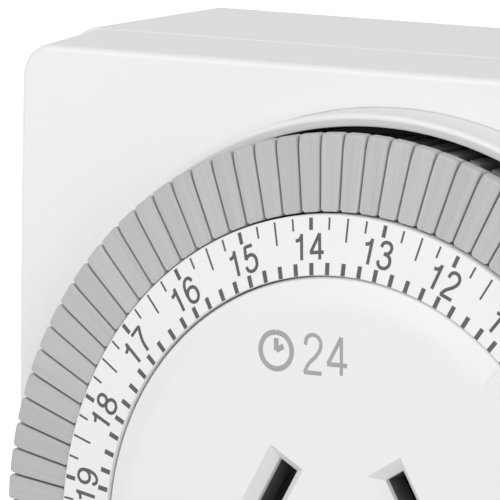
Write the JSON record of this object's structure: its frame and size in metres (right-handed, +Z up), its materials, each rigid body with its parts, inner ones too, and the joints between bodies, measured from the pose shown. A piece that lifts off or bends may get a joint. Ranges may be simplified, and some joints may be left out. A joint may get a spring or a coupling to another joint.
{
  "type": "plug-in timer switch",
  "caption": "Plug-in mechanical timer switch: square white housing with a turning dial of push-in tappets round a three-slot socket outlet, and plug pins at the back.",
  "frame": {"origin": "on the dial's axis, in the plane of the flat back that lies on the wall", "axes": "+Z up, +X to the right seen from the front, -Y out from the wall towards the viewer"},
  "size_m": [0.0798, 0.0588, 0.0782],
  "materials": {
    "shell": "satin",
    "face": "satin",
    "ring": "printed satin",
    "tappet": "satin",
    "inner_plastic": "satin",
    "carrier_plastic": "satin",
    "gear_plastic": "satin",
    "sleeve": "satin",
    "brass": "satin",
    "bronze": "satin",
    "contact": "bright",
    "steel": "zinc plated",
    "coil": "taped winding",
    "magnet": "sintered",
    "lead": "insulated wire",
    "override": "satin"
  },
  "bodies": {
    "housing": {"rear_housing": "shell", "front_housing": "shell", "chassis": "inner_plastic", "socket_face": "face", "contact_carrier": "carrier_plastic", "active_pin": "brass", "neutral_pin": "brass", "earth_pin": "brass", "pin_sleeves": "sleeve", "active_contact": "bronze", "neutral_contact": "bronze", "earth_contact": "bronze", "active_strap": "brass", "load_strap": "brass", "neutral_strap": "brass", "earth_strap": "brass", "fixed_contact": "contact", "leaf_terminal": "brass", "motor_can": "steel", "motor_coil": "coil", "motor_plate": "steel", "motor_screws": "steel", "motor_leads": "lead", "drive_arbor": "steel", "follower_pin": "steel", "housing_screws": "steel"},
    "dial": {"number_ring": "ring", "dial_carrier": "carrier_plastic"},
    "tappets_00": {"tappets_00": "tappet"},
    "tappets_01": {"tappets_01": "tappet"},
    "tappets_02": {"tappets_02": "tappet"},
    "tappets_03": {"tappets_03": "tappet"},
    "tappets_04": {"tappets_04": "tappet"},
    "tappets_05": {"tappets_05": "tappet"},
    "tappets_06": {"tappets_06": "tappet"},
    "tappets_07": {"tappets_07": "tappet"},
    "tappets_08": {"tappets_08": "tappet"},
    "tappets_09": {"tappets_09": "tappet"},
    "tappets_10": {"tappets_10": "tappet"},
    "tappets_11": {"tappets_11": "tappet"},
    "tappets_12": {"tappets_12": "tappet"},
    "tappets_13": {"tappets_13": "tappet"},
    "tappets_14": {"tappets_14": "tappet"},
    "tappets_15": {"tappets_15": "tappet"},
    "tappets_16": {"tappets_16": "tappet"},
    "tappets_17": {"tappets_17": "tappet"},
    "tappets_18": {"tappets_18": "tappet"},
    "tappets_19": {"tappets_19": "tappet"},
    "tappets_20": {"tappets_20": "tappet"},
    "tappets_21": {"tappets_21": "tappet"},
    "tappets_22": {"tappets_22": "tappet"},
    "tappets_23": {"tappets_23": "tappet"},
    "drive_gear": {"drive_gear": "gear_plastic"},
    "motor_pinion": {"motor_pinion": "brass"},
    "motor_rotor": {"motor_rotor": "magnet"},
    "follower_lever": {"follower_lever": "gear_plastic"},
    "switch_leaf": {"switch_leaf": "bronze", "moving_contact": "contact"},
    "override_slide": {"override_slide": "override"}
  },
  "joints": [
    {"name": "dial_turn", "type": "hinge", "parent": "housing", "child": "dial", "pos_m": [0, -0.027, 0], "axis": [0, -1, 0], "continuous": true},
    {"name": "tappets_00_push", "type": "slide", "parent": "dial", "child": "tappets_00", "axis": [0, 1, 0], "range_m": [0, 0.003]},
    {"name": "tappets_01_push", "type": "slide", "parent": "dial", "child": "tappets_01", "axis": [0, 1, 0], "range_m": [0, 0.003]},
    {"name": "tappets_02_push", "type": "slide", "parent": "dial", "child": "tappets_02", "axis": [0, 1, 0], "range_m": [0, 0.003]},
    {"name": "tappets_03_push", "type": "slide", "parent": "dial", "child": "tappets_03", "axis": [0, 1, 0], "range_m": [0, 0.003]},
    {"name": "tappets_04_push", "type": "slide", "parent": "dial", "child": "tappets_04", "axis": [0, 1, 0], "range_m": [0, 0.003]},
    {"name": "tappets_05_push", "type": "slide", "parent": "dial", "child": "tappets_05", "axis": [0, 1, 0], "range_m": [0, 0.003]},
    {"name": "tappets_06_push", "type": "slide", "parent": "dial", "child": "tappets_06", "axis": [0, 1, 0], "range_m": [0, 0.003]},
    {"name": "tappets_07_push", "type": "slide", "parent": "dial", "child": "tappets_07", "axis": [0, 1, 0], "range_m": [0, 0.003]},
    {"name": "tappets_08_push", "type": "slide", "parent": "dial", "child": "tappets_08", "axis": [0, 1, 0], "range_m": [0, 0.003]},
    {"name": "tappets_09_push", "type": "slide", "parent": "dial", "child": "tappets_09", "axis": [0, 1, 0], "range_m": [0, 0.003]},
    {"name": "tappets_10_push", "type": "slide", "parent": "dial", "child": "tappets_10", "axis": [0, 1, 0], "range_m": [0, 0.003]},
    {"name": "tappets_11_push", "type": "slide", "parent": "dial", "child": "tappets_11", "axis": [0, 1, 0], "range_m": [0, 0.003]},
    {"name": "tappets_12_push", "type": "slide", "parent": "dial", "child": "tappets_12", "axis": [0, 1, 0], "range_m": [0, 0.003]},
    {"name": "tappets_13_push", "type": "slide", "parent": "dial", "child": "tappets_13", "axis": [0, 1, 0], "range_m": [0, 0.003]},
    {"name": "tappets_14_push", "type": "slide", "parent": "dial", "child": "tappets_14", "axis": [0, 1, 0], "range_m": [0, 0.003]},
    {"name": "tappets_15_push", "type": "slide", "parent": "dial", "child": "tappets_15", "axis": [0, 1, 0], "range_m": [0, 0.003]},
    {"name": "tappets_16_push", "type": "slide", "parent": "dial", "child": "tappets_16", "axis": [0, 1, 0], "range_m": [0, 0.003]},
    {"name": "tappets_17_push", "type": "slide", "parent": "dial", "child": "tappets_17", "axis": [0, 1, 0], "range_m": [0, 0.003]},
    {"name": "tappets_18_push", "type": "slide", "parent": "dial", "child": "tappets_18", "axis": [0, 1, 0], "range_m": [0, 0.003]},
    {"name": "tappets_19_push", "type": "slide", "parent": "dial", "child": "tappets_19", "axis": [0, 1, 0], "range_m": [0, 0.003]},
    {"name": "tappets_20_push", "type": "slide", "parent": "dial", "child": "tappets_20", "axis": [0, 1, 0], "range_m": [0, 0.003]},
    {"name": "tappets_21_push", "type": "slide", "parent": "dial", "child": "tappets_21", "axis": [0, 1, 0], "range_m": [0, 0.003]},
    {"name": "tappets_22_push", "type": "slide", "parent": "dial", "child": "tappets_22", "axis": [0, 1, 0], "range_m": [0, 0.003]},
    {"name": "tappets_23_push", "type": "slide", "parent": "dial", "child": "tappets_23", "axis": [0, 1, 0], "range_m": [0, 0.003]},
    {"name": "drive_gear_turn", "type": "hinge", "parent": "housing", "child": "drive_gear", "pos_m": [0.0198, -0.019, -0.0198], "axis": [0, -1, 0], "continuous": true},
    {"name": "motor_pinion_turn", "type": "hinge", "parent": "housing", "child": "motor_pinion", "pos_m": [0.02175, -0.016, -0.03088], "axis": [0, -1, 0], "continuous": true},
    {"name": "motor_rotor_turn", "type": "hinge", "parent": "housing", "child": "motor_rotor", "pos_m": [0.02106, -0.008, -0.02176], "axis": [0, -1, 0], "continuous": true},
    {"name": "follower_tilt", "type": "hinge", "parent": "housing", "child": "follower_lever", "pos_m": [-0.03095, -0.02105, -0.01488], "axis": [-1, 0, 0], "range_deg": [0, 10.82]},
    {"name": "leaf_bend", "type": "hinge", "parent": "housing", "child": "switch_leaf", "pos_m": [-0.03095, -0.015, -0.01538], "axis": [-1, 0, 0], "range_deg": [0, 11.06]},
    {"name": "override_slide_move", "type": "slide", "parent": "housing", "child": "override_slide", "axis": [0, 0, -1], "range_m": [0, 0.005]}
  ],
  "couplings": [
    {"joint": "drive_gear_turn", "follows": "dial_turn", "ratio": -6},
    {"joint": "motor_pinion_turn", "follows": "dial_turn", "ratio": 24},
    {"joint": "follower_tilt", "follows": "tappets_19_push", "rad_per_m": 62.872},
    {"joint": "leaf_bend", "follows": "tappets_19_push", "rad_per_m": 64.275}
  ]
}
